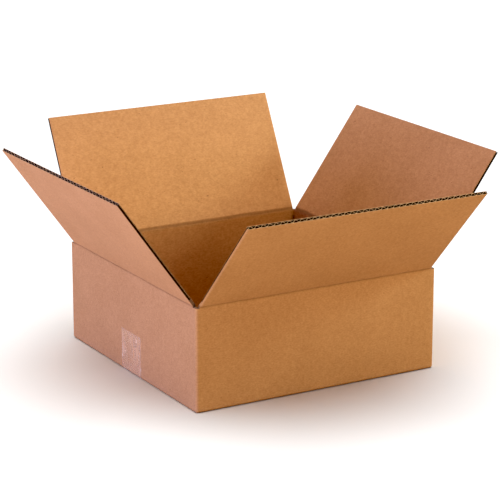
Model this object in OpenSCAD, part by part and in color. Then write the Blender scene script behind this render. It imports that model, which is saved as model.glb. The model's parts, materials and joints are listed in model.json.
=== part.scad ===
// Shallow corrugated shipping box, erected, with its four top flaps folded outwards.
// One slotted blank of single-wall board makes the walls, the base and the flaps.
// The base flaps are closed and taped. The top flaps swing on their creases.
// +Z is up, the front wall faces -Y, and the origin is under the middle of the base.

/* [Box] */
// Outside width of the front and back walls
box_w = 312; // [220:1:480]
// Outside width of the left and right walls
box_d = 312; // [220:1:480]
// Height of the top creases above the floor
wall_h = 121; // [70:1:300]
// Outside radius of the folded edges
fold_r = 3; // [1.5:0.25:3.5]

/* [Board] */
// Thickness of the corrugated board
board_t = 4; // [3:0.1:5]
// Thickness of each flat paper liner
liner_t = 0.35; // [0.2:0.05:0.6]
// Thickness of the fluted paper between the liners
medium_t = 0.3; // [0.2:0.05:0.5]
// Nominal distance from one flute to the next
flute_pitch = 7.8; // [6:0.1:10]

/* [Flaps] */
// Gap left where two facing flaps would meet
seam_gap = 8; // [1:0.5:12]
// How far the front and back flaps are slotted in from the corners
long_slot = 5; // [1:0.25:10]
// How far the left and right flaps are slotted in from the corners
short_slot = 7; // [5.5:0.25:20]
// Depth of the slots below the creases
slot_drop = 1; // [0.5:0.25:3]
// Gap along a crease between a wall and its flap
crease_gap = 0.4; // [0.2:0.05:1]
// Length of crushed board beside a crease, where the flutes are closed
crease_crush = 9; // [6:0.5:20]
// Lean of the front flap outwards from upright
front_lean = 43; // [10:1:80]
// Lean of the back flap outwards from upright
back_lean = 27; // [10:1:80]
// Lean of the left flap outwards from upright
left_lean = 36; // [10:1:80]
// Lean of the right flap outwards from upright
right_lean = 36; // [10:1:80]

/* [Glued corner] */
// Width of the glue tab inside the left wall
tab_w = 35; // [20:1:60]
// How far the tab's ends taper in at its free edge
tab_taper = 12; // [2:1:25]
// Distance from the left wall's cut end to the back face
joint_gap = 1.5; // [0.5:0.25:2.5]

/* [Tape] */
// Width of the sealing tape
tape_w = 48; // [24:1:75]
// Thickness of the tape
tape_t = 0.1; // [0.05:0.05:0.3]
// How far the tape's ends reach up the left and right walls
tape_up = 50; // [15:1:65]

/* [Hidden] */
$fn = 48;

// Adhesive between the tape and the board
glue_t = 0.05;
// Clearance between pieces that pass each other
clear = 0.5;
// Overshoot of every cut past the face that it opens
over = 1;

base_z = tape_t + glue_t;
flap_len = (min(box_w, box_d) - seam_gap) / 2;
long_flap_w = box_w - 2 * long_slot;
short_flap_w = box_d - 2 * short_slot;
crease_z = crease_gap / 2;

// Share of a flute's length where the fluted paper is clear of the liner
flute_open = 0.88;
// Number of straight pieces along each side of a flute
flute_steps = 5;

kraft = [0.72, 0.50, 0.30];
kraft_inside = [0.78, 0.56, 0.34];
film = [0.85, 0.72, 0.66, 0.6];

// Tunnel on one side of the fluted paper: the liner's inner face and the wave below it
module flute_tunnel(pitch) {
    wave = (board_t - 2 * liner_t - medium_t) / 2;
    ceiling = board_t - liner_t;
    middle = board_t / 2 + medium_t / 2;
    half = flute_open * pitch / 2;
    function along(i) = -half + 2 * half * i / flute_steps;
    function floor_at(x) = middle - wave * cos(360 * x / pitch);
    polygon(concat(
        [[-half, ceiling]],
        [for (i = [1 : flute_steps - 1]) [along(i), floor_at(along(i))]],
        [[half, ceiling]]
    ));
}

// All the tunnels across a flap, with the outermost ones cut open by its side edges
module flute_tunnels(width) {
    count = round(width / flute_pitch);
    pitch = width / count;
    for (i = [0 : count - 1])
        translate([-width / 2 + (i + 0.5) * pitch, 0]) flute_tunnel(pitch);
    for (i = [0 : count])
        translate([-width / 2 + i * pitch, board_t]) mirror([0, 1]) flute_tunnel(pitch);
}

// Draws a profile of inward and upward distances along a wall
module along_wall(length) {
    rotate([90, 0, 90]) linear_extrude(length, center = true) children();
}

// Moves a wall's own frame into place: X along the wall, Y inwards from its outer face, Z up from its crease
module on_wall(turn) {
    reach = (turn % 180 == 0 ? box_d : box_w) / 2;
    rotate([0, 0, turn]) translate([0, -reach, wall_h]) children();
}

// Flap standing upright on its crease, with a mitred crushed foot and fluted board above
module flap_board(width) {
    difference() {
        along_wall(width) polygon([
            [0, crease_z],
            [board_t, board_t + crease_z],
            [board_t, flap_len],
            [0, flap_len]
        ]);
        translate([0, 0, crease_crush]) linear_extrude(flap_len) flute_tunnels(width);
    }
}

module leaning_flap(turn, width, lean) {
    on_wall(turn) rotate([lean, 0, 0]) flap_board(width);
}

// Rectangle with rounded corners
module rounded_rect(w, d, r) {
    square([w - 2 * r, d], center = true);
    square([w, d - 2 * r], center = true);
    for (x = [-1, 1], y = [-1, 1])
        translate([x * (w / 2 - r), y * (d / 2 - r)]) circle(r);
}

// Upright section of the box: rounded where the board folds under, open above
module folded_section(w, r, bottom, top) {
    translate([-w / 2, bottom + r]) square([w, top - bottom - r]);
    translate([-w / 2 + r, bottom]) square([w - 2 * r, 2 * r]);
    for (x = [-1, 1])
        translate([x * (w / 2 - r), bottom + r]) circle(r);
}

// The four walls seen from above, with the left wall's cut end at the glued corner
module wall_plan() {
    joint_x = -box_w / 2;
    joint_y = box_d / 2;
    difference() {
        rounded_rect(box_w, box_d, fold_r);
        square([box_w - 2 * board_t, box_d - 2 * board_t], center = true);
        translate([joint_x - over, joint_y - joint_gap]) square([board_t + over, joint_gap + over]);
        translate([joint_x + board_t + fold_r, joint_y - fold_r]) difference() {
            translate([-fold_r, 0]) square([fold_r, fold_r + over]);
            circle(fold_r);
        }
    }
}

// Material taken off the top of one wall: the crease's mitre and the slots beside the flap
module crease_cut(length, flap_w) {
    slot = (length - flap_w) / 2;
    along_wall(flap_w + 2 * clear) polygon([
        [-over, over - crease_z],
        [board_t + over, -board_t - over - crease_z],
        [board_t + over, 2 * over],
        [-over, 2 * over]
    ]);
    for (x = [-1, 1])
        translate([x * (length - slot) / 2, board_t / 2, over / 2 - slot_drop / 2])
            cube([slot + 2 * clear, board_t + 2 * over, slot_drop + over], center = true);
}

module walls() {
    difference() {
        translate([0, 0, base_z]) linear_extrude(wall_h - base_z) wall_plan();
        for (turn = [0, 180]) on_wall(turn) crease_cut(box_w, long_flap_w);
        for (turn = [90, 270]) on_wall(turn) crease_cut(box_d, short_flap_w);
    }
}

// Base: the long flaps lie outermost, between the end walls, and the short flaps lie on them
module base_flaps() {
    long_w = box_w - 2 * board_t - 2 * clear;
    for (y = [-1, 1])
        translate([0, y * (box_d / 2 - flap_len / 2), base_z + board_t / 2])
            cube([long_w, flap_len, board_t], center = true);
    for (x = [-1, 1])
        translate([x * (box_w / 2 - flap_len / 2), 0, base_z + 1.5 * board_t])
            cube([flap_len, short_flap_w, board_t], center = true);
}

// Glue tab folded from the back wall against the inside of the left wall
module glue_tab() {
    root_y = box_d / 2 - board_t;
    low = base_z + 2 * board_t + clear;
    high = wall_h - board_t - crease_gap - 2 * clear;
    translate([1.5 * board_t - box_w / 2, 0, 0]) along_wall(board_t) polygon([
        [root_y, low],
        [root_y, high],
        [root_y - tab_w, high - tab_taper],
        [root_y - tab_w, low + tab_taper]
    ]);
}

module box_shell() {
    color(kraft) {
        intersection() {
            union() {
                walls();
                base_flaps();
            }
            along_wall(2 * box_w) folded_section(box_d, fold_r, base_z, wall_h + over);
            rotate([90, 0, 0]) linear_extrude(2 * box_d, center = true)
                folded_section(box_w, fold_r, base_z, wall_h + over);
        }
        glue_tab();
    }
}

module front_flap() {
    color(kraft) leaning_flap(0, long_flap_w, front_lean);
}

module back_flap() {
    color(kraft_inside) leaning_flap(180, long_flap_w, back_lean);
}

module left_flap() {
    color(kraft) leaning_flap(270, short_flap_w, left_lean);
}

module right_flap() {
    color(kraft_inside) leaning_flap(90, short_flap_w, right_lean);
}

// One strip of clear tape: along the base's seam and up the left and right walls
module bottom_tape() {
    inside_w = box_w + 2 * glue_t;
    inside_r = fold_r + glue_t;
    color(film) rotate([90, 0, 0]) linear_extrude(tape_w, center = true) difference() {
        folded_section(inside_w + 2 * tape_t, inside_r + tape_t, 0, tape_up);
        folded_section(inside_w, inside_r, tape_t, tape_up + over);
    }
}

box_shell();
front_flap();
back_flap();
left_flap();
right_flap();
bottom_tape();
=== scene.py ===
"""Looks of an open corrugated shipping box: fluted walls and flaps, scored creases and a taped base."""

import json
import math

import bmesh
import bpy
import numpy as np
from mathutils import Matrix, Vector

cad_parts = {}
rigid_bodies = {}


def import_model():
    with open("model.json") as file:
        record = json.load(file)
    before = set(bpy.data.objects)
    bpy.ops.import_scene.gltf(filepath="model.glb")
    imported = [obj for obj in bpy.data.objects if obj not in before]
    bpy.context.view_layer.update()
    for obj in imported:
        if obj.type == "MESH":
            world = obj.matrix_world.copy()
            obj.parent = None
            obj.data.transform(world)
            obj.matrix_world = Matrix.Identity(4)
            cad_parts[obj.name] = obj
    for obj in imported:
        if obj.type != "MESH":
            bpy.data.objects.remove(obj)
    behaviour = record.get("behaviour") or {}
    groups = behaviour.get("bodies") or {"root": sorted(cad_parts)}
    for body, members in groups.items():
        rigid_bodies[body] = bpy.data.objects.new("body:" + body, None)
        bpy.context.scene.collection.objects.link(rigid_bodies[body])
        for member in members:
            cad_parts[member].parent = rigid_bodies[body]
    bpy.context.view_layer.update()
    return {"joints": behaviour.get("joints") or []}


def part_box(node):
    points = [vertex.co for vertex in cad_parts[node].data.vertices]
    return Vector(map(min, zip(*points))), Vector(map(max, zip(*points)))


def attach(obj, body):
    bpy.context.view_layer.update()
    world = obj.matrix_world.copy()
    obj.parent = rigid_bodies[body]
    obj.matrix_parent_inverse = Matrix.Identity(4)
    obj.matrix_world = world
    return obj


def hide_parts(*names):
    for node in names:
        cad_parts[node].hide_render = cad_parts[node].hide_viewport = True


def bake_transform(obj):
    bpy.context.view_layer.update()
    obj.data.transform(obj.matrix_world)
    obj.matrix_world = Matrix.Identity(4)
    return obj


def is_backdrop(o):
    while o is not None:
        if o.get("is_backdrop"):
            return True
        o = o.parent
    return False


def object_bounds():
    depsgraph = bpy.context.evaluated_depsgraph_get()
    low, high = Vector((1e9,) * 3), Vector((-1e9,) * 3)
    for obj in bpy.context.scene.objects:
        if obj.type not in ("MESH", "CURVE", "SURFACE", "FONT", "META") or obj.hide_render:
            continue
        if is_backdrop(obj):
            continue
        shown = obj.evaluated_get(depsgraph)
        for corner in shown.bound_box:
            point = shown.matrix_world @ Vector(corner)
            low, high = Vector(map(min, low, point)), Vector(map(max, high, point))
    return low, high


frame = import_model()

# Sizes are in millimetres. The box, its creases and its leans come from the frame.
MM = 0.001
SHELL_LOW, SHELL_HIGH = (np.array(corner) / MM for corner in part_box("box_shell"))
HALF = SHELL_HIGH[0]
BASE_Z = SHELL_LOW[2]
CREASE = {joint["child"]: joint for joint in frame["joints"]}
CREASE_Z = CREASE["left_flap"]["pos_m"][2] / MM
TURN = {"front": 0, "right": 90, "back": 180, "left": 270}
LONG_SIDES = ("front", "back")
# A flap's lower limit shuts it, a quarter turn in from upright. The rest of that limit is its lean.
LEAN = {side: math.radians(-CREASE[side + "_flap"]["range_deg"][0] - 90) for side in TURN}

# The flat blank: each panel's place along it, so that the paper runs on over every fold
BLANK_X = {"left": -2 * HALF, "front": 0, "right": 2 * HALF, "back": 4 * HALF}
GLUED_X = 5 * HALF

# The board: its sheets, its flutes, and how the flutes show through the liners away from the cut edges
BOARD = 4.0
LINER = 0.38
MEDIUM = 0.4
FLUTE_PITCH = 7.8
WASHBOARD = 0.05
WASHBOARD_FADE = 12.0
LINER_COLUMNS = 6
MEDIUM_COLUMNS = 10
AT_EDGE = 0.01
WELD = 0.0005
SHARP_EDGE = math.radians(40)

# The flaps
FLAP_BOX = {side: np.array(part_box(side + "_flap")) / MM for side in TURN}
FLAP_WIDTH = {side: np.ptp(FLAP_BOX[side], axis=0)[0 if side in LONG_SIDES else 1] for side in TURN}
FLAP_LENGTH = (-FLAP_BOX["left"][0][0] - HALF) / math.sin(LEAN["left"])
FLAP_ROWS = 14
# The slotting knives pinched the side edges of the front flap shut and left those of the other flaps open
PINCH = {"front": 0.6, "back": 0.2, "left": 0.2, "right": 0.2}
PINCH_REACH = 0.9
SHUT_PINCH = 0.5
# The long flaps bow outwards and the short ones inwards, so that they stay clear of each other when shut
BOW = {"front": -0.5, "back": -0.5, "left": 0.5, "right": 0.5}
WARP_STEP = 2.1

# The folds. A press is the depth of the outer groove, the depth and half width of the inner valley,
# and the strength of the painted shade line along the fold.
CREASE_REACH = 8.0
TOP_BEND = 3.0
FOLD_R = 3.0
CORNER = HALF - FOLD_R
TOP_PRESS = (0.5, 0.4, 1.0, 0.5)
FOOT_PRESS = (0.0, 2.2, 3.6, 0.1)
TOP_SEED, FOOT_SEED, UNEVEN_SEED = 11, 31, 100
STRIP_COLUMNS = 75
LINE_WANDER = 0.16
SHADE_LINE_WIDTH = 1.2
INNER_SHADE = 1.3
GROOVE_WIDTH = 0.9
UNEVEN = 0.03
UNEVEN_OUTSIDE = 0.4
UNEVEN_REACH = 3.0
PINCH_START = -0.5
PINCH_RISE = 3.0
CORNER_SHADE_WIDTH = 2.6
CORNER_PAPER = 5
CORNER_STEPS = 9

# The slots beside the flaps, the walls, the base and the glue tab
SLOT_DROP = 1.0
SLOT_STEP = -0.9
JOINT_GAP = 1.5
WALL_ROWS = 7
WALL_TOP = CREASE_Z - CREASE_REACH
WALL_FOOT = BASE_Z + CREASE_REACH
FOOT_Y = BASE_Z - CREASE_Z
BASE_GAP = 0.5
BASE_SEAM = 1.2
BASE_STEP = 1
BASE_ROWS = 5
BASE_HALF = HALF - BOARD - BASE_GAP
BASE_LENGTH = HALF - BASE_SEAM / 2
TAB_WIDTH = 35.0
TAB_TAPER = 12.0
TAB_ROWS = 8
TAB_FOOT_GAP = 0.5
TAB_TOP_GAP = 1.4

# The tape
TAPE_WIDTH = 48.0
TAPE_UP = 50.0
TAPE_LIFT = 0.06
TAPE_FILM = 0.07
TAPE_TOOTH = 0.9
TAPE_COLUMNS = 49
TAPE_WALL_STEPS, TAPE_FOLD_STEPS, TAPE_BASE_STEPS = 16, 7, 9

# Surface finish: depth of the relief in metres, and gloss
PAPER_RELIEF, PAPER_GLOSS = 0.0002, 0.12
TAPE_RELIEF, TAPE_GLOSS = 0.0003, 0.5


# node helpers
def add_node(tree, kind, inputs=None, **settings):
    """Adds a node, sets it up, and links or fills its inputs."""
    node = tree.nodes.new(kind)
    for key, value in settings.items():
        setattr(node, key, value)
    for key, value in (inputs or {}).items():
        if isinstance(value, bpy.types.NodeSocket):
            tree.links.new(value, node.inputs[key])
        else:
            node.inputs[key].default_value = value
    return node


def calc(tree, operation, *values):
    """One step of arithmetic in a node tree."""
    return add_node(tree, "ShaderNodeMath", dict(enumerate(values)), operation=operation).outputs[0]


def ramp(tree, value, *stops):
    """Colour ramp from (place, colour) stops."""
    node = add_node(tree, "ShaderNodeValToRGB", {"Fac": value})
    points = node.color_ramp.elements
    while len(points) < len(stops):
        points.new(0.5)
    for point, (place, colour) in zip(points, stops):
        point.position = place
        point.color = (*colour, 1)
    return node.outputs["Color"]


def span(tree, value, low, high, to_low=0.0, to_high=1.0, smooth=False):
    """Maps a value from one range to another."""
    return add_node(
        tree,
        "ShaderNodeMapRange",
        {"Value": value, "From Min": low, "From Max": high, "To Min": to_low, "To Max": to_high},
        interpolation_type="SMOOTHSTEP" if smooth else "LINEAR",
    ).outputs["Result"]


def stretched(tree, place, scale):
    """A place, scaled along its three axes."""
    return add_node(tree, "ShaderNodeMapping", {"Vector": place, "Scale": scale}).outputs["Vector"]


def noise(tree, place, scale, detail):
    """Cloudy pattern of one grain size."""
    inputs = {"Vector": place, "Scale": scale, "Detail": detail}
    return add_node(tree, "ShaderNodeTexNoise", inputs).outputs["Fac"]


def mix(tree, share, first, second):
    """Colour between two colours, which the node takes at its sockets 6 and 7."""
    inputs = {"Factor": share, 6: first, 7: second}
    return add_node(tree, "ShaderNodeMix", inputs, data_type="RGBA").outputs[2]


def new_group(name, kind, inputs, outputs):
    """Empty node group with named sockets. Gives the tree, its input sockets and its output node."""
    tree = bpy.data.node_groups.new(name, kind)
    for side, sockets in (("INPUT", inputs), ("OUTPUT", outputs)):
        for label, socket in sockets:
            tree.interface.new_socket(name=label, in_out=side, socket_type="NodeSocket" + socket)
    return tree, tree.nodes.new("NodeGroupInput").outputs, tree.nodes.new("NodeGroupOutput")


def new_material(name):
    """Material with an empty node tree."""
    material = bpy.data.materials.new(name)
    material.use_nodes = True
    material.node_tree.nodes.clear()
    return material, material.node_tree


def surface(tree, inputs):
    """Ends a material's tree in one shader."""
    shader = add_node(tree, "ShaderNodeBsdfPrincipled", inputs)
    add_node(tree, "ShaderNodeOutputMaterial", {"Surface": shader.outputs["BSDF"]})


# shared paper effects
def kraft_fibre_group():
    """Fibres, flecks and cloudy tone of kraft paper, laid out on the flat blank, with painted shade along
    the folds and inside corners.
    """
    tree, given, out = new_group(
        "kraft_fibres",
        "ShaderNodeTree",
        [("Sheet", "Vector"), ("Painted Fold Shade", "Float"), ("Dark", "Color"), ("Light", "Color"), ("Fleck And Shade", "Color")],
        [("Color", "Color"), ("Roughness", "Float"), ("Height", "Float")],
    )
    sheet = given["Sheet"]
    long_way = stretched(tree, sheet, (0.6, 1.0, 1.0))
    clouds = noise(tree, sheet, 16, 3)
    grain = noise(tree, long_way, 620, 4)
    blotch = noise(tree, sheet, 170, 3)
    flecks = noise(tree, long_way, 380, 2)
    pale = noise(tree, sheet, 240, 1)
    tone = calc(tree, "ADD", calc(tree, "MULTIPLY", clouds, 0.22), calc(tree, "MULTIPLY", grain, 0.6))
    tone = calc(tree, "ADD", tone, calc(tree, "MULTIPLY", blotch, 0.25))
    paper = mix(tree, span(tree, tone, 0.37, 0.70), given["Dark"], given["Light"])
    fleck_mask = span(tree, flecks, 0.70, 0.78, 0, 0.75, smooth=True)
    flecked = mix(tree, fleck_mask, paper, given["Fleck And Shade"])
    pale_mask = span(tree, pale, 0.71, 0.8, 0, 0.5, smooth=True)
    speckled = mix(tree, pale_mask, flecked, given["Light"])
    # Painted shade: the fleck colour is laid along folds and into inside corners, where shade falls
    fold_shaded = mix(tree, given["Painted Fold Shade"], speckled, given["Fleck And Shade"])
    tree.links.new(fold_shaded, out.inputs["Color"])
    tree.links.new(span(tree, grain, 0.3, 0.7, 0.82, 0.94), out.inputs["Roughness"])
    tree.links.new(grain, out.inputs["Height"])
    return tree


def paper_material(name, group, dark, light, fleck_and_shade, bump):
    """Paper of one finish, read from the blank's own coordinates."""
    material, tree = new_material(name)
    inputs = {
        "Sheet": add_node(tree, "ShaderNodeAttribute", attribute_name="sheet").outputs["Vector"],
        "Painted Fold Shade": add_node(tree, "ShaderNodeAttribute", attribute_name="painted_fold_shade").outputs["Fac"],
        "Dark": (*dark, 1),
        "Light": (*light, 1),
        "Fleck And Shade": (*fleck_and_shade, 1),
    }
    paper = add_node(tree, "ShaderNodeGroup", inputs, node_tree=group).outputs
    relief = {"Strength": bump, "Distance": PAPER_RELIEF, "Height": paper["Height"]}
    surface(
        tree,
        {
            "Base Color": paper["Color"],
            "Roughness": paper["Roughness"],
            "Normal": add_node(tree, "ShaderNodeBump", relief).outputs["Normal"],
            "Specular IOR Level": PAPER_GLOSS,
        },
    )
    return material


def tape_material():
    """Clear film with trapped air: a pale soft veil with a few bright specks."""
    material, tree = new_material("clear_tape")
    place = add_node(tree, "ShaderNodeTexCoord").outputs["Object"]
    air = noise(tree, stretched(tree, place, (1, 3, 1)), 40, 1)
    specks = span(tree, noise(tree, place, 190, 0), 0.74, 0.82, smooth=True)
    veil = calc(tree, "ADD", air, calc(tree, "MULTIPLY", specks, 0.6))
    relief = {"Strength": 0.05, "Distance": TAPE_RELIEF, "Height": veil}
    tints = (
        (0.35, (0.62, 0.292, 0.107)),
        (0.65, (0.66, 0.325, 0.125)),
        (1.0, (0.78, 0.47, 0.24)),
    )
    surface(
        tree,
        {
            "Base Color": ramp(tree, veil, *tints),
            "Roughness": span(tree, air, 0.35, 0.7, 0.34, 0.5),
            "Alpha": span(tree, veil, 0.35, 1.0, 0.38, 0.55),
            "Normal": add_node(tree, "ShaderNodeBump", relief).outputs["Normal"],
            "Specular IOR Level": TAPE_GLOSS,
        },
    )
    return material


fibres = kraft_fibre_group()
# Each finish has a dark tone, a light tone, a colour for flecks and for the painted shade along folds, and
# the strength of its relief
PAPERS = [
    paper_material(name, fibres, dark, light, fleck_and_shade, bump)
    for name, dark, light, fleck_and_shade, bump in (
        ("kraft_liner", (0.305, 0.122, 0.034), (0.435, 0.187, 0.060), (0.15, 0.055, 0.014), 0.35),
        # The fluting medium is near black: painted shade of the flute hollows, not the paper's own colour
        ("fluting_medium_painted_shade", (0.022, 0.008, 0.003), (0.045, 0.018, 0.007), (0.015, 0.006, 0.003), 0.5),
        ("cut_board_edge", (0.27, 0.125, 0.042), (0.42, 0.225, 0.095), (0.14, 0.06, 0.02), 0.8),
        # The slotted edge is near black: painted shade in the open flutes of side edges and slot ends
        ("slot_edge_painted_shade", (0.05, 0.02, 0.008), (0.14, 0.062, 0.024), (0.02, 0.008, 0.004), 0.9),
        ("pressed_edge", (0.17, 0.062, 0.012), (0.46, 0.20, 0.045), (0.03, 0.012, 0.003), 0.9),
    )
]
liner_paper, medium_painted_shade, cut_edge, slot_edge_painted_shade, pressed_edge = PAPERS
LINER_PAPER, MEDIUM_PAINTED_SHADE, CUT_EDGE, SLOT_EDGE_PAINTED_SHADE, PRESSED_EDGE = range(len(PAPERS))
clear_tape = tape_material()


# corrugated board
def fluted_board_tree():
    """Two liners with a waved medium between them, the medium and the liners' faces towards it near black as
    painted shade of the flute hollows. Flutes run along Y, the outer liner lies at Z 0.
    """
    tree, given, out = new_group(
        "fluted_board",
        "GeometryNodeTree",
        [
            ("Width", "Float"),
            ("Length", "Float"),
            ("Thickness", "Float"),
            ("Liner", "Float"),
            ("Medium", "Float"),
            ("Flute Pitch", "Float"),
            ("Washboard", "Float"),
            ("Rows", "Int"),
            ("Liner Paper", "Material"),
            ("Medium Painted Shade", "Material"),
            ("Cut Edge", "Material"),
            ("Slot Edge Painted Shade", "Material"),
        ],
        [("Geometry", "Geometry")],
    )
    width, length, thickness = given["Width"], given["Length"], given["Thickness"]
    flutes = calc(tree, "ROUND", calc(tree, "DIVIDE", width, given["Flute Pitch"]))
    position = tree.nodes.new("GeometryNodeInputPosition").outputs["Position"]
    place = add_node(tree, "ShaderNodeSeparateXYZ", {"Vector": position}).outputs
    turns = calc(tree, "DIVIDE", calc(tree, "MULTIPLY", place["X"], flutes), width)
    wave = calc(tree, "COSINE", calc(tree, "MULTIPLY", turns, 2 * math.pi))
    end_distance = calc(tree, "MINIMUM", place["Y"], calc(tree, "SUBTRACT", length, place["Y"]))
    from_end = span(tree, end_distance, 0, WASHBOARD_FADE, smooth=True)
    sink = calc(tree, "MULTIPLY", given["Washboard"], from_end)
    half_width = calc(tree, "MULTIPLY", width, 0.5)
    side_distance = calc(tree, "SUBTRACT", half_width, calc(tree, "ABSOLUTE", place["X"]))
    at_side = calc(tree, "LESS_THAN", side_distance, AT_EDGE)

    def mark(mesh, paper, chosen=None):
        """Keeps which paper a face shows."""
        inputs = {"Geometry": mesh, "Name": "paper", "Value": paper}
        if chosen is not None:
            inputs["Selection"] = chosen
        node = add_node(tree, "GeometryNodeStoreNamedAttribute", inputs, data_type="INT", domain="FACE")
        return node.outputs["Geometry"]

    def moved(mesh, axis, distance):
        """Mesh moved along one axis."""
        offset = add_node(tree, "ShaderNodeCombineXYZ", {axis: distance}).outputs["Vector"]
        inputs = {"Geometry": mesh, "Offset": offset}
        return add_node(tree, "GeometryNodeSetPosition", inputs).outputs["Geometry"]

    def joined(*meshes):
        """Several meshes as one."""
        node = tree.nodes.new("GeometryNodeJoinGeometry")
        for mesh in meshes:
            tree.links.new(mesh, node.inputs[0])
        return node.outputs[0]

    def paper_sheet(columns, rise, sheet_thickness, upper, lower, upright):
        """One closed sheet of paper over the whole board, with its upper and lower face marked."""
        across = calc(tree, "ADD", calc(tree, "MULTIPLY", flutes, columns), 1)
        grid = add_node(
            tree,
            "GeometryNodeMeshGrid",
            {"Size X": width, "Size Y": length, "Vertices X": across, "Vertices Y": given["Rows"]},
        ).outputs["Mesh"]
        from_foot = moved(grid, "Y", calc(tree, "MULTIPLY", length, 0.5))
        laid = moved(from_foot, "Z", rise)
        layer = {"Mesh": laid, "Offset Scale": sheet_thickness, "Individual": False}
        if upright:
            layer["Offset"] = add_node(tree, "ShaderNodeCombineXYZ", {"Z": 1.0}).outputs["Vector"]
        thick = add_node(tree, "GeometryNodeExtrudeMesh", layer).outputs
        edged = mark(mark(thick["Mesh"], upper), CUT_EDGE, thick["Side"])
        # Painted shade: side faces at the board's side edges take the near-black slotted edge colour
        painted_shade_sides = add_node(
            tree, "FunctionNodeBooleanMath", {0: thick["Side"], 1: at_side}, operation="AND"
        ).outputs["Boolean"]
        edged = mark(edged, SLOT_EDGE_PAINTED_SHADE, painted_shade_sides)
        under = add_node(tree, "GeometryNodeFlipFaces", {"Mesh": mark(laid, lower)}).outputs["Mesh"]
        inputs = {"Geometry": joined(edged, under), "Distance": WELD}
        return add_node(tree, "GeometryNodeMergeByDistance", inputs).outputs["Geometry"]

    dip_outer = calc(tree, "MULTIPLY", sink, calc(tree, "MULTIPLY", calc(tree, "ADD", wave, 1), 0.5))
    dip_inner = calc(tree, "MULTIPLY", sink, calc(tree, "MULTIPLY", calc(tree, "SUBTRACT", 1, wave), 0.5))
    inner_face = calc(tree, "SUBTRACT", calc(tree, "SUBTRACT", thickness, given["Liner"]), dip_inner)
    room = calc(tree, "SUBTRACT", thickness, calc(tree, "MULTIPLY", given["Liner"], 2))
    swing = calc(tree, "MULTIPLY", calc(tree, "SUBTRACT", room, given["Medium"]), 0.5)
    core = calc(tree, "MULTIPLY", calc(tree, "SUBTRACT", thickness, given["Medium"]), 0.5)
    medium_rise = calc(tree, "ADD", core, calc(tree, "MULTIPLY", swing, wave))

    # The medium and the liners' faces towards it take the near-black medium colour, painted shade of the
    # flute hollows
    all_sheets = joined(
        paper_sheet(LINER_COLUMNS, dip_outer, given["Liner"], MEDIUM_PAINTED_SHADE, LINER_PAPER, True),
        paper_sheet(LINER_COLUMNS, inner_face, given["Liner"], LINER_PAPER, MEDIUM_PAINTED_SHADE, True),
        paper_sheet(MEDIUM_COLUMNS, medium_rise, given["Medium"], MEDIUM_PAINTED_SHADE, MEDIUM_PAINTED_SHADE, False),
    )
    geometry = add_node(
        tree, "GeometryNodeRealizeInstances", {"Geometry": all_sheets}
    ).outputs["Geometry"]
    paper = add_node(
        tree, "GeometryNodeInputNamedAttribute", {"Name": "paper"}, data_type="INT"
    ).outputs["Attribute"]
    for number, label in enumerate(("Liner Paper", "Medium Painted Shade", "Cut Edge", "Slot Edge Painted Shade")):
        chosen = add_node(
            tree, "FunctionNodeCompare", {"A": paper, "B": number}, data_type="INT", operation="EQUAL"
        ).outputs["Result"]
        inputs = {"Geometry": geometry, "Selection": chosen, "Material": given[label]}
        geometry = add_node(tree, "GeometryNodeSetMaterial", inputs).outputs["Geometry"]
    tree.links.new(geometry, out.inputs["Geometry"])
    return tree


board_tree = fluted_board_tree()
BOARD_SOCKET = {
    item.name: item.identifier for item in board_tree.interface.items_tree if item.in_out == "INPUT"
}


def fluted_board(width, length, rows, side_edge=slot_edge_painted_shade):
    """Flat piece of corrugated board as a plain mesh, with its points in the board's own millimetres."""
    blank = bpy.data.objects.new("board_blank", bpy.data.meshes.new("board_blank"))
    bpy.context.scene.collection.objects.link(blank)
    board = blank.modifiers.new("fluted_board", "NODES")
    board.node_group = board_tree
    for label, value in (
        ("Width", float(width)),
        ("Length", float(length)),
        ("Thickness", BOARD),
        ("Liner", LINER),
        ("Medium", MEDIUM),
        ("Flute Pitch", FLUTE_PITCH),
        ("Washboard", WASHBOARD),
        ("Rows", rows),
        ("Liner Paper", liner_paper),
        ("Medium Painted Shade", medium_painted_shade),
        ("Cut Edge", cut_edge),
        ("Slot Edge Painted Shade", side_edge),
    ):
        board[BOARD_SOCKET[label]] = value
    evaluated = blank.evaluated_get(bpy.context.evaluated_depsgraph_get())
    mesh = bpy.data.meshes.new_from_object(evaluated)
    bpy.data.objects.remove(blank)
    points = np.empty(len(mesh.vertices) * 3)
    mesh.vertices.foreach_get("co", points)
    return mesh, points.reshape(-1, 3)


# places on the folded blank
def on_wall(side, x, u, z):
    """Point x along a wall, u inwards from its outer face and z up, in the box's own frame."""
    turn = math.radians(TURN[side])
    along = np.array((math.cos(turn), math.sin(turn), 0))
    inward = np.array((-math.sin(turn), math.cos(turn), 0))
    x, u, z = np.broadcast_arrays(x, u, z)
    return x[:, None] * along + (u[:, None] - HALF) * inward + z[:, None] * np.array((0, 0, 1))


def bent(s, w, angle, radius):
    """(u, z) of a board that bends by angle about s 0: s along its outer face, w inwards from that face."""
    s, w = np.broadcast_arrays(np.asarray(s, float), np.asarray(w, float))
    radius = math.copysign(radius, angle)
    reach = radius * math.tan(angle / 2)
    turn = np.clip((s + reach) / (2 * reach), 0, 1) * angle
    u = np.where(s < -reach, w, (radius + w) * np.cos(turn) - radius)
    z = np.where(s < -reach, s, (radius + w) * np.sin(turn) - reach)
    beyond = s > reach
    u = np.where(beyond, w * math.cos(angle) - s * math.sin(angle), u)
    z = np.where(beyond, w * math.sin(angle) + s * math.cos(angle), z)
    return u, z


def at_top(side, x, s, w):
    """Point on a wall (s below 0) or on its flap (s above 0), by the lean that the flap has at rest."""
    u, z = bent(s, w, LEAN[side], TOP_BEND)
    return on_wall(side, x, u, CREASE_Z + z)


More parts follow.
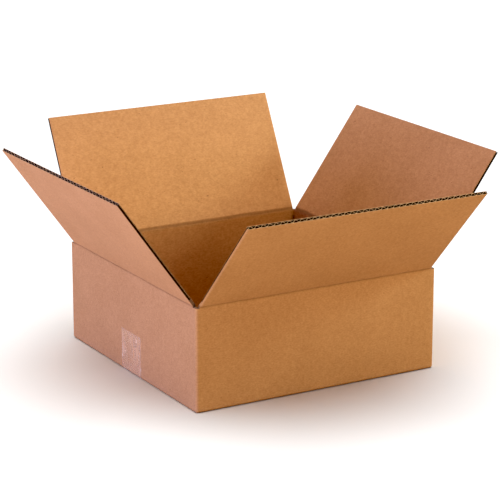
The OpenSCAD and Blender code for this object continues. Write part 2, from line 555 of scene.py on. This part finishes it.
def at_base(side, x, s, w):
    """Point on a wall (s below 0) or on the base flap folded in from it (s above 0)."""
    u, z = bent(s, w, -math.pi / 2, FOLD_R)
    return on_wall(side, x, u, BASE_Z - z)


def finish_mesh(mesh, points, sheet, painted_fold_shade=None):
    """Puts the points in place, in metres, and keeps their places on the blank and their painted fold shade.
    """
    if painted_fold_shade is not None:
        fold_shade_layer = mesh.attributes.new("painted_fold_shade", "FLOAT", "POINT")
        fold_shade_layer.data.foreach_set("value", np.asarray(painted_fold_shade, np.float32).ravel())
    mesh.vertices.foreach_set("co", (np.asarray(points) * MM).ravel())
    layer = mesh.attributes.get("sheet") or mesh.attributes.new("sheet", "FLOAT_VECTOR", "POINT")
    layer.data.foreach_set("vector", (np.asarray(sheet) * MM).astype(np.float32).ravel())
    mesh.update()
    mesh.shade_smooth()
    mesh.set_sharp_from_angle(angle=SHARP_EDGE)


def show(mesh, name):
    """Object at the origin with its place in its mesh."""
    piece = bpy.data.objects.new(name, mesh)
    mesh.name = name
    bpy.context.scene.collection.objects.link(piece)
    return piece


def solid(name, points, faces, sheet, papers, painted_fold_shade=None):
    """Closed mesh from points and faces, with its outsides turned out."""
    mesh = bpy.data.meshes.new(name)
    mesh.from_pydata([tuple(p) for p in points], [], faces)
    for paper in PAPERS:
        mesh.materials.append(paper)
    mesh.polygons.foreach_set("material_index", papers)
    shell = bmesh.new()
    shell.from_mesh(mesh)
    bmesh.ops.recalc_face_normals(shell, faces=shell.faces)
    shell.to_mesh(mesh)
    shell.free()
    finish_mesh(mesh, points, sheet, painted_fold_shade)
    return show(mesh, name)


def join(name, pieces):
    """Several meshes as one piece."""
    first = pieces[0]
    for piece in bpy.context.scene.objects:
        piece.select_set(piece in pieces)
    bpy.context.view_layer.objects.active = first
    with bpy.context.temp_override(active_object=first, selected_editable_objects=pieces, object=first):
        bpy.ops.object.join()
    first.name = name
    first.data.name = name
    return first


def ripple(seed, columns, rows, size):
    """Smooth uneven grid of small heights, the same on each run."""
    smoothed_spread = 0.5
    rough = np.random.default_rng(seed).normal(size=(columns, rows))
    for _ in range(3):
        rough = (np.roll(rough, 1, 0) + 2 * rough + np.roll(rough, -1, 0)) / 4
    return size * rough / smoothed_spread


# folds
def mirrored(half):
    """Places on both sides of a fold, from those on one side."""
    return [-s for s in reversed(half)] + [0, *half]


TOP_PLACES = mirrored([0.35, 0.7, 1.1, 1.6, 2.2, 2.9, 3.8, 5, 6.5, 8])
FOOT_PLACES = mirrored([0.6, 1.2, 1.8, 2.4, 3, 4, 5, 6.5, 8])


def along_strip():
    """Shares of a strip's length, close together at its ends where the board is pinched."""
    close = np.array([0, 0.002, 0.0045, 0.008, 0.013])
    return np.concatenate([close, np.linspace(0.02, 0.98, STRIP_COLUMNS), 1 - close[::-1]])[:, None]


def fold_strip(name, side, place, rows, ends, press, pinch, fold_y, way, seed):
    """Crushed board along one fold: a grooved outer face and a pressed-in inner face, closed all round, with
    painted shade along the fold line.

    rows are places across the fold, ends gives the strip's two ends at each row, press says how the fold
    is pressed and how dark its painted shade line is, fold_y and way lay it on the blank."""
    groove, valley, spread, shade_strength = press
    rows = np.asarray(rows, float)
    count = len(rows)
    share = along_strip()
    columns = len(share) - 1
    low, high = (np.array([end(s) for s in rows]) for end in ends)
    x = low + (high - low) * share
    off = rows - ripple(seed, columns + 1, 1, LINE_WANDER)
    near_fold = np.exp(-((rows / UNEVEN_REACH) ** 2))
    uneven = ripple(seed + UNEVEN_SEED, columns + 1, count, UNEVEN) * near_fold
    outer = groove * np.exp(-((off / GROOVE_WIDTH) ** 2)) + UNEVEN_OUTSIDE * uneven
    inner = BOARD - valley * np.exp(-((off / spread) ** 2)) + uneven
    above = np.clip((rows - PINCH_START) / PINCH_RISE, 0, 1)
    shut = pinch * above * np.exp(-((np.minimum(x - low, high - x) / PINCH_REACH) ** 2))
    outer += (BOARD / 2 - outer) * shut
    inner += (BOARD / 2 - inner) * shut
    # Painted shade: a dark line along the fold, stronger on the inner face, standing in for the shade in the
    # crease
    shade_line = shade_strength * np.exp(-((off / SHADE_LINE_WIDTH) ** 2))
    loop_x = np.hstack([x, x[:, ::-1]])
    loop_s = np.broadcast_to(np.hstack([rows, rows[::-1]]), loop_x.shape)
    loop_w = np.hstack([outer, inner[:, ::-1]])
    points = place(side, loop_x.ravel(), loop_s.ravel(), loop_w.ravel())
    sheet = np.column_stack([BLANK_X[side] + loop_x.ravel(), fold_y + way * loop_s.ravel(), loop_w.ravel()])
    painted_fold_shade = np.hstack([shade_line, INNER_SHADE * shade_line[:, ::-1]])
    faces, papers = [], []
    ring = 2 * count
    for i in range(columns):
        for k in range(ring):
            a, b = i * ring + k, i * ring + (k + 1) % ring
            faces.append((a, b, b + ring, a + ring))
            papers.append(CUT_EDGE if k in (count - 1, ring - 1) else LINER_PAPER)
    for base in (0, columns * ring):
        for k in range(count - 1):
            faces.append((base + k, base + k + 1, base + ring - 2 - k, base + ring - 1 - k))
            # Painted shade: open ends take the near-black slotted edge colour
            papers.append(PRESSED_EDGE if pinch > SHUT_PINCH else SLOT_EDGE_PAINTED_SHADE)
    return solid(name, points, faces, sheet, papers, painted_fold_shade)


def wall_span(side):
    """Ends of a wall's flat board, seen from outside. The back and left walls meet at the glued corner."""
    if side == "back":
        return -CORNER, CORNER - BOARD
    if side == "left":
        return JOINT_GAP - HALF, CORNER
    return -CORNER, CORNER


def crease_ends(side):
    """The strip ends in line with the wall below the crease and with the flap above it."""
    low, high = wall_span(side)
    flap = FLAP_WIDTH[side] / 2
    return (
        lambda s: max(low, -flap) if s < SLOT_STEP else -flap,
        lambda s: min(high, flap) if s < SLOT_STEP else flap,
    )


creases = {}
for number, side in enumerate(TURN):
    creases[side] = fold_strip(
        side + "_crease",
        side,
        at_top,
        TOP_PLACES,
        crease_ends(side),
        TOP_PRESS,
        pinch=PINCH[side],
        fold_y=0,
        way=1,
        seed=TOP_SEED + number,
    )

# flaps
flaps = {}
for number, side in enumerate(TURN):
    # Open side edges of the flaps take the near-black slotted edge colour, painted shade in the open flutes
    side_edge = pressed_edge if PINCH[side] > SHUT_PINCH else slot_edge_painted_shade
    mesh, board = fluted_board(FLAP_WIDTH[side], FLAP_LENGTH - CREASE_REACH, FLAP_ROWS, side_edge)
    x, s, w = board[:, 0], board[:, 1] + CREASE_REACH, board[:, 2]
    warp = 0.5 + 0.5 * np.sin(np.pi * x / FLAP_WIDTH[side] + WARP_STEP * number)
    bow = BOW[side] * warp * (s / FLAP_LENGTH) ** 2
    shut = PINCH[side] * np.exp(-(((FLAP_WIDTH[side] / 2 - np.abs(x)) / PINCH_REACH) ** 2))
    points = at_top(side, x, s, w + (BOARD / 2 - w) * shut + bow)
    finish_mesh(mesh, points, np.column_stack([BLANK_X[side] + x, s, w]))
    flaps[side] = show(mesh, side + "_flap_board")

# walls and base
shell = []


def base_ends(side):
    """The fold under a wall: as long as the wall above, as long as the base flap beyond."""
    low, high = wall_span(side)
    if side not in LONG_SIDES:
        return (lambda s: low, lambda s: high)
    return (
        lambda s: low if s < BASE_STEP else max(low, -BASE_HALF),
        lambda s: high if s < BASE_STEP else min(high, BASE_HALF),
    )


for number, side in enumerate(TURN):
    low, high = wall_span(side)
    mesh, board = fluted_board(high - low, WALL_TOP - WALL_FOOT, WALL_ROWS, pressed_edge)
    x, z, w = board[:, 0] + (low + high) / 2, board[:, 1] + WALL_FOOT, board[:, 2]
    inside = HALF - BOARD - np.abs(x)
    # Painted shade: the inner face darkens towards the inside corners, where the walls shade each other
    painted_fold_shade = np.where(w > BOARD / 2, np.exp(-((inside / CORNER_SHADE_WIDTH) ** 2)), 0.0)
    sheet = np.column_stack([BLANK_X[side] + x, z - CREASE_Z, w])
    finish_mesh(mesh, on_wall(side, x, w, z), sheet, painted_fold_shade)
    shell.append(show(mesh, side + "_wall"))
    rows = FOOT_PLACES if side in LONG_SIDES else [s for s in FOOT_PLACES if s <= BOARD]
    shell.append(
        fold_strip(
            side + "_foot",
            side,
            at_base,
            rows,
            base_ends(side),
            FOOT_PRESS,
            pinch=0,
            fold_y=FOOT_Y,
            way=-1,
            seed=FOOT_SEED + number,
        )
    )
    if side in LONG_SIDES:
        mesh, board = fluted_board(2 * BASE_HALF, BASE_LENGTH - CREASE_REACH, BASE_ROWS)
        x, s, w = board[:, 0], board[:, 1] + CREASE_REACH, board[:, 2]
        points = at_base(side, x, s, w)
    else:
        mesh, board = fluted_board(FLAP_WIDTH[side], BASE_LENGTH - BOARD, BASE_ROWS)
        x, s, w = board[:, 0], board[:, 1] + BOARD, board[:, 2]
        points = on_wall(side, x, s, BASE_Z + BOARD + w)
    finish_mesh(mesh, points, np.column_stack([BLANK_X[side] + x, FOOT_Y - s, w]))
    shell.append(show(mesh, side + "_base_flap"))


def prism(name, plan, heights, shrink, centre, blank_x):
    """Upright solid on a plan, drawn in towards a centre by a share at each height."""
    plan = np.asarray(plan, float)
    count = len(plan)
    along = blank_x + np.linspace(0, CORNER_PAPER, count)
    rings, sheet = [], []
    for z, share in zip(heights, shrink):
        ring = centre + (plan - centre) * share
        rings.append(np.column_stack([ring, np.full(count, z)]))
        sheet.append(np.column_stack([along, np.full(count, z - CREASE_Z), np.zeros(count)]))
    faces, papers = [], []
    for i in range(len(heights) - 1):
        for k in range(count):
            a, b = i * count + k, i * count + (k + 1) % count
            faces.append((a, b, b + count, a + count))
            papers.append(LINER_PAPER)
    # Painted shade: the top and bottom faces take the near-black slotted edge colour
    for start in (0, (len(heights) - 1) * count):
        faces.append(tuple(range(start, start + count)))
        papers.append(SLOT_EDGE_PAINTED_SHADE)
    return solid(name, np.vstack(rings), faces, np.vstack(sheet), papers)


foot_rise = [0.02, 0.08, 0.25, 0.5, 0.75, 1.0]
foot_share = [math.sqrt(1 - (1 - rise) ** 2) for rise in foot_rise]
corner_heights = [BASE_Z + FOLD_R * rise for rise in foot_rise] + [CREASE_Z - SLOT_DROP]
for name, sx, sy, inset, blank_x in (
    ("front_left_fold", -1, -1, 0, -HALF),
    ("front_right_fold", 1, -1, 0, HALF),
    ("back_left_fold", -1, 1, BOARD, GLUED_X),
    ("back_right_fold", 1, 1, 0, 3 * HALF),
):
    centre = np.array((sx * (CORNER - inset), sy * CORNER))
    angles = np.linspace(0, math.pi / 2, CORNER_STEPS)
    arc = centre + FOLD_R * np.column_stack([sx * np.cos(angles), sy * np.sin(angles)])
    plan = np.vstack([centre, arc])
    shell.append(prism(name, plan, corner_heights, foot_share + [1.0], centre, blank_x))

# Wall tops beside the flaps
slot_heights = [WALL_TOP, CREASE_Z - SLOT_DROP]
for side in TURN:
    flap = FLAP_WIDTH[side] / 2
    low, high = wall_span(side)
    for name, a, b in (("near", low, -flap), ("far", flap, high)):
        if a > b:
            continue
        ends = on_wall(side, np.array([a, b, b, a]), np.array([0, 0, BOARD, BOARD]), np.zeros(4))[:, :2]
        slot_name = side + "_slot_" + name
        shell.append(prism(slot_name, ends, slot_heights, [1, 1], ends.mean(0), BLANK_X[side]))

# Glue tab inside the left wall, with its ends cut at a slant
tab_root = HALF - BOARD
mesh, board = fluted_board(TAB_WIDTH, 1.0, TAB_ROWS)
tab_low, tab_high = BASE_Z + 2 * BOARD + TAB_FOOT_GAP, CREASE_Z - BOARD - TAB_TOP_GAP
x, share, w = board[:, 0] + TAB_WIDTH / 2, board[:, 1], board[:, 2]
cut = TAB_TAPER * x / TAB_WIDTH
z = tab_low + cut + share * (tab_high - tab_low - 2 * cut)
finish_mesh(
    mesh,
    np.column_stack([BOARD - w - tab_root, tab_root - x, z]),
    np.column_stack([GLUED_X + x, z - CREASE_Z, w]),
)
shell.append(show(mesh, "glue_tab"))


# tape
def tape_film():
    """Strip of film along the base seam and up two walls, with teeth where it was torn off."""
    heights = np.linspace(TAPE_UP, BASE_Z + FOLD_R, TAPE_WALL_STEPS)
    path = [(-HALF, z, -1.0, 0.0) for z in heights]
    for a in np.linspace(0, math.pi / 2, TAPE_FOLD_STEPS)[1:-1]:
        nx, nz = -math.cos(a), -math.sin(a)
        path.append((-CORNER + FOLD_R * nx, BASE_Z + FOLD_R + FOLD_R * nz, nx, nz))
    path += [(x, BASE_Z, 0.0, -1.0) for x in np.linspace(-CORNER, 0, TAPE_BASE_STEPS)]
    path = np.array(path + [(-x, z, -nx, nz) for x, z, nx, nz in path[-2::-1]])
    across = np.linspace(-TAPE_WIDTH / 2, TAPE_WIDTH / 2, TAPE_COLUMNS)
    teeth = TAPE_TOOTH * (np.arange(TAPE_COLUMNS) % 2)
    count, columns = len(path), len(across)
    points = []
    for offset in (TAPE_LIFT, TAPE_LIFT + TAPE_FILM):
        for i, (x, z, nx, nz) in enumerate(path):
            drop = teeth if i in (0, count - 1) else 0 * teeth
            points.append(
                np.column_stack([np.full(columns, x + offset * nx), across, z + offset * nz - drop])
            )
    points = np.vstack(points)
    faces = []
    top = count * columns
    for i in range(count - 1):
        for k in range(columns - 1):
            a = i * columns + k
            faces.append((a, a + 1, a + 1 + columns, a + columns))
            faces.append((top + a, top + a + columns, top + a + 1 + columns, top + a + 1))
    for k in range(columns - 1):
        for row in (0, count - 1):
            a = row * columns + k
            faces.append((a, a + 1, top + a + 1, top + a))
    for i in range(count - 1):
        for k in (0, columns - 1):
            a = i * columns + k
            faces.append((a, a + columns, top + a + columns, top + a))
    piece = solid("base_tape_film", points, faces, points, [0] * len(faces))
    piece.data.materials.clear()
    piece.data.materials.append(clear_tape)
    return piece


tape = tape_film()

# bodies
box_board = join("box_board", shell)
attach(box_board, "box")
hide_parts("box_shell")
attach(tape, "box")
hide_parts("bottom_tape")
for side in TURN:
    flap_body = side + "_flap"
    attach(flaps[side], flap_body)
    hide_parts(flap_body)
    fold = on_wall(side, np.array([0.0]), np.array([0.0]), np.array([CREASE_Z]))[0] * MM
    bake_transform(creases[side])

# studio
scene = bpy.context.scene


def plain_material(name, colour, roughness):
    """Matte paint for the floor."""
    material = bpy.data.materials.new(name)
    material.use_nodes = True
    shader = material.node_tree.nodes["Principled BSDF"]
    shader.inputs["Base Color"].default_value = (*colour, 1)
    shader.inputs["Roughness"].default_value = roughness
    shader.inputs["Specular IOR Level"].default_value = 0.1
    return material


FLOOR_REACH = 60.0
corners = [(sx * FLOOR_REACH, sy * FLOOR_REACH, 0) for sx, sy in ((-1, -1), (1, -1), (1, 1), (-1, 1))]
floor_mesh = bpy.data.meshes.new("studio_floor")
floor_mesh.from_pydata(corners, [], [(0, 1, 2, 3)])
floor_mesh.materials.append(plain_material("pale_floor", (0.9, 0.9, 0.9), 0.9))
floor = show(floor_mesh, "studio_floor")
floor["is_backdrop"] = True

lit_box = bpy.data.collections.new("lit_box")
for piece in (box_board, tape, *flaps.values(), *creases.values()):
    lit_box.objects.link(piece)
lit_floor = bpy.data.collections.new("lit_floor")
lit_floor.objects.link(floor)
LIGHT_TARGET = Vector((0.0, 0.0, 0.12))


def add_light(name, kind, place, receivers):
    """Light that faces the middle of the box and falls on some of the pieces only."""
    data = bpy.data.lights.new(name, kind)
    light = bpy.data.objects.new(name, data)
    light.location = place
    light.rotation_euler = (LIGHT_TARGET - Vector(place)).to_track_quat("-Z", "Y").to_euler()
    light.light_linking.receiver_collection = receivers
    scene.collection.objects.link(light)
    return data


def soft_box(name, place, width, height, power, colour):
    """Soft light on the box."""
    data = add_light(name, "AREA", place, lit_box)
    data.shape = "RECTANGLE"
    data.size = width
    data.size_y = height
    data.energy = power
    data.color = colour


floor_light = add_light("floor_light", "SUN", (0.0, 0.0, 3.0), lit_floor)
floor_light.energy = 4.2
floor_light.angle = math.radians(70)
soft_box("left_light", (-1.7, -0.15, 0.28), 1.4, 0.5, 82, (0.31, 0.4, 1.0))
soft_box("front_light", (0.3, -2.4, 0.95), 1.2, 0.6, 35, (1.0, 0.95, 0.65))
soft_box("side_light", (2.2, -0.75, 1.35), 0.6, 0.5, 89, (0.58, 0.82, 1.0))
soft_box("high_light", (1.9, 0.1, 2.0), 0.6, 0.6, 67, (0.58, 0.82, 1.0))
soft_box("top_light", (0.1, -0.1, 2.6), 0.9, 0.9, 65, (0.78, 0.79, 1.0))
soft_box("right_light", (2.2, 0.9, 1.2), 1.4, 1.4, 36, (1.0, 1.0, 1.0))
soft_box("back_light", (0.4, 2.4, 1.4), 1.4, 1.4, 42, (1.0, 1.0, 1.0))

world = bpy.data.worlds.new("studio")
world.use_nodes = True
sky = world.node_tree
sky.nodes.clear()
fill = add_node(sky, "ShaderNodeBackground", {"Color": (1, 1, 1, 1), "Strength": 0.05})
backdrop = add_node(sky, "ShaderNodeBackground", {"Color": (1, 1, 1, 1), "Strength": 1.05})
seen = add_node(sky, "ShaderNodeLightPath").outputs["Is Camera Ray"]
sky_mix = add_node(sky, "ShaderNodeMixShader", {0: seen, 1: fill.outputs[0], 2: backdrop.outputs[0]})
add_node(sky, "ShaderNodeOutputWorld", {"Surface": sky_mix.outputs[0]})
scene.world = world
scene.view_settings.view_transform = "Standard"
scene.view_settings.use_curve_mapping = True
scene.view_settings.curve_mapping.black_level = (0.01, 0.01, 0.01)
scene.view_settings.curve_mapping.update()

camera_data = bpy.data.cameras.new("camera")
camera_data.lens = 156.0
camera_data.sensor_width = 36
camera = bpy.data.objects.new("camera", camera_data)
azimuth, elevation, distance = math.radians(-29.91), math.radians(15.84), 2.535
target = Vector((0.00102, 0, 0.12558))
back = Vector(
    (math.sin(azimuth) * math.cos(elevation), -math.cos(azimuth) * math.cos(elevation), math.sin(elevation))
)
camera.location = target + distance * back
camera.rotation_euler = back.to_track_quat("Z", "Y").to_euler()
scene.collection.objects.link(camera)
scene.camera = camera

low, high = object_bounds()
